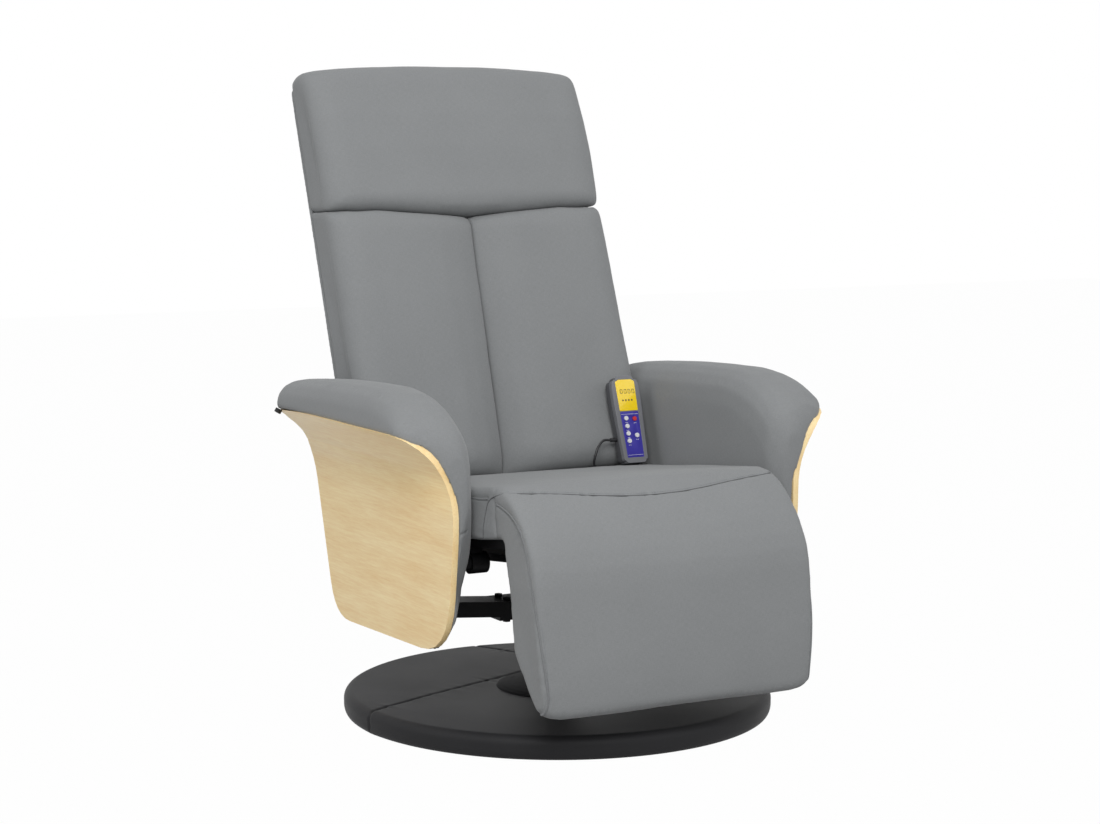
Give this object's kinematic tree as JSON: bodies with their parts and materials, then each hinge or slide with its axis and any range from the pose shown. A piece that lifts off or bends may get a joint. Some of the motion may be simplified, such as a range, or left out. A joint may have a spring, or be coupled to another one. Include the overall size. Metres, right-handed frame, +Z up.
{
  "type": "massage recliner",
  "caption": "Swivel recliner on a round base with flared wood-faced arms, a back that reclines as the footrest lifts, vibration pods in seat and back, and a wired hand control.",
  "frame": {"origin": "on the floor at the centre of the round base", "axes": "+Z up; the sitter faces -Y; +X is on the right of a viewer who stands in front"},
  "size_m": [0.8004, 0.9181, 1.0944],
  "materials": {
    "fabric": "woven grey upholstery fabric",
    "base_leather": "dark grey grained artificial leather",
    "veneer": "clear-lacquered light wood veneer over bent plywood",
    "plywood": "raw plywood",
    "black_steel": "black powder coat",
    "zinc_steel": "zinc plated",
    "ballast": "raw steel plate",
    "bronze": "sintered bronze",
    "rubber": "black rubber",
    "black_plastic": "black moulded plastic",
    "grey_plastic": "grey moulded plastic",
    "dark_plastic": "dark grey moulded plastic",
    "webbing": "black elastic webbing",
    "screen": "yellow display window",
    "keypad": "blue printed membrane",
    "white_key": "white button",
    "red_key": "red button",
    "board_green": "printed circuit board",
    "pad_felt": "non-slip pad"
  },
  "bodies": {
    "base": {"floor_pad": "pad_felt", "base_board": "plywood", "ballast_plate": "ballast", "base_cover": "base_leather", "post_collar": "black_plastic", "spindle_post": "black_steel", "base_bolts": "zinc_steel", "thrust_washer": "bronze", "spindle_nut": "zinc_steel"},
    "chair": {"swivel_hub": "black_steel", "crossbar": "black_steel", "chassis_bolts": "black_steel", "seat_stubs": "black_steel", "arm_frame_left": "plywood", "arm_frame_right": "plywood", "arm_panel_left": "veneer", "arm_panel_right": "veneer", "arm_pad_left": "fabric", "arm_pad_right": "fabric", "flare_buffers": "rubber", "seat_frame": "black_steel", "seat_webbing": "webbing", "seat_cushion": "fabric", "knee_roll": "fabric", "dust_cover": "webbing", "control_box": "black_plastic", "power_inlet": "black_plastic", "seat_massage_pods": "black_plastic", "hinge_pins": "zinc_steel", "handset_cord": "rubber"},
    "back": {"back_frame": "black_steel", "rear_panel": "fabric", "back_cushion_left": "fabric", "back_cushion_right": "fabric", "head_cushion": "fabric", "back_massage_pods": "black_plastic", "rod_pins": "zinc_steel"},
    "footrest": {"footrest_board": "plywood", "calf_cushion": "fabric", "footrest_hinges": "black_steel"},
    "push_rod_left": {"push_rod_left": "black_steel"},
    "push_rod_right": {"push_rod_right": "black_steel"},
    "seat_weight_left": {"seat_weight_left": "bronze"},
    "seat_weight_right": {"seat_weight_right": "bronze"},
    "low_weight_left": {"low_weight_left": "bronze"},
    "low_weight_right": {"low_weight_right": "bronze"},
    "high_weight_left": {"high_weight_left": "bronze"},
    "high_weight_right": {"high_weight_right": "bronze"},
    "handset": {"handset_back": "dark_plastic", "handset_front": "grey_plastic", "screen_window": "screen", "keypad_overlay": "keypad", "circuit_board": "board_green", "strain_relief": "rubber"},
    "power_button": {"power_button": "red_key"},
    "program_button": {"program_button": "white_key"},
    "back_button": {"back_button": "white_key"},
    "seat_button": {"seat_button": "white_key"},
    "speed_button": {"speed_button": "white_key"},
    "timer_button": {"timer_button": "white_key"}
  },
  "joints": [
    {"name": "swivel", "type": "hinge", "parent": "base", "child": "chair", "pos_m": [0, 0, 0.18], "axis": [0, 0, 1], "continuous": true},
    {"name": "recline", "type": "hinge", "parent": "chair", "child": "back", "pos_m": [0, 0.206, 0.315], "axis": [-1, 0, 0], "range_deg": [0, 35]},
    {"name": "footrest_swing", "type": "hinge", "parent": "chair", "child": "footrest", "pos_m": [0, -0.29, 0.34], "axis": [-1, 0, 0], "range_deg": [0, 70], "deforming": ["knee_roll"]},
    {"name": "rod_pivot_left", "type": "hinge", "parent": "back", "child": "push_rod_left", "pos_m": [-0.207, 0.22314, 0.26064], "axis": [-1, 0, 0], "range_deg": [-35, 0]},
    {"name": "rod_pivot_right", "type": "hinge", "parent": "back", "child": "push_rod_right", "pos_m": [0.207, 0.22314, 0.26064], "axis": [-1, 0, 0], "range_deg": [-35, 0]},
    {"name": "seat_motor_left", "type": "hinge", "parent": "chair", "child": "seat_weight_left", "pos_m": [-0.122, -0.13825, 0.34686], "axis": [0, 0.1132, 0.9936], "continuous": true},
    {"name": "low_motor_left", "type": "hinge", "parent": "back", "child": "low_weight_left", "pos_m": [-0.138, 0.27955, 0.57556], "axis": [0, 0.9397, -0.342], "continuous": true},
    {"name": "high_motor_left", "type": "hinge", "parent": "back", "child": "high_weight_left", "pos_m": [-0.138, 0.3548, 0.78229], "axis": [0, 0.9397, -0.342], "continuous": true},
    {"name": "seat_motor_right", "type": "hinge", "parent": "chair", "child": "seat_weight_right", "pos_m": [0.122, -0.13825, 0.34686], "axis": [0, 0.1132, 0.9936], "continuous": true},
    {"name": "low_motor_right", "type": "hinge", "parent": "back", "child": "low_weight_right", "pos_m": [0.138, 0.27955, 0.57556], "axis": [0, 0.9397, -0.342], "continuous": true},
    {"name": "high_motor_right", "type": "hinge", "parent": "back", "child": "high_weight_right", "pos_m": [0.138, 0.3548, 0.78229], "axis": [0, 0.9397, -0.342], "continuous": true},
    {"name": "handset_lift", "type": "slide", "parent": "chair", "child": "handset", "axis": [0, 0.309, 0.9511], "range_m": [0, 0.15]},
    {"name": "power_press", "type": "slide", "parent": "handset", "child": "power_button", "axis": [0, 0.9511, -0.309], "range_m": [0, 0.0008], "stiffness_N_per_m": 300, "springref_m": -0.0005},
    {"name": "program_press", "type": "slide", "parent": "handset", "child": "program_button", "axis": [0, 0.9511, -0.309], "range_m": [0, 0.0008], "stiffness_N_per_m": 300, "springref_m": -0.0005},
    {"name": "back_press", "type": "slide", "parent": "handset", "child": "back_button", "axis": [0, 0.9511, -0.309], "range_m": [0, 0.0008], "stiffness_N_per_m": 300, "springref_m": -0.0005},
    {"name": "seat_press", "type": "slide", "parent": "handset", "child": "seat_button", "axis": [0, 0.9511, -0.309], "range_m": [0, 0.0008], "stiffness_N_per_m": 300, "springref_m": -0.0005},
    {"name": "speed_press", "type": "slide", "parent": "handset", "child": "speed_button", "axis": [0, 0.9511, -0.309], "range_m": [0, 0.0008], "stiffness_N_per_m": 300, "springref_m": -0.0005},
    {"name": "timer_press", "type": "slide", "parent": "handset", "child": "timer_button", "axis": [0, 0.9511, -0.309], "range_m": [0, 0.0008], "stiffness_N_per_m": 300, "springref_m": -0.0005}
  ],
  "couplings": [
    {"joint": "footrest_swing", "follows": "recline", "ratio": 2},
    {"joint": "rod_pivot_left", "follows": "recline", "ratio": -1},
    {"joint": "rod_pivot_right", "follows": "recline", "ratio": -1}
  ]
}
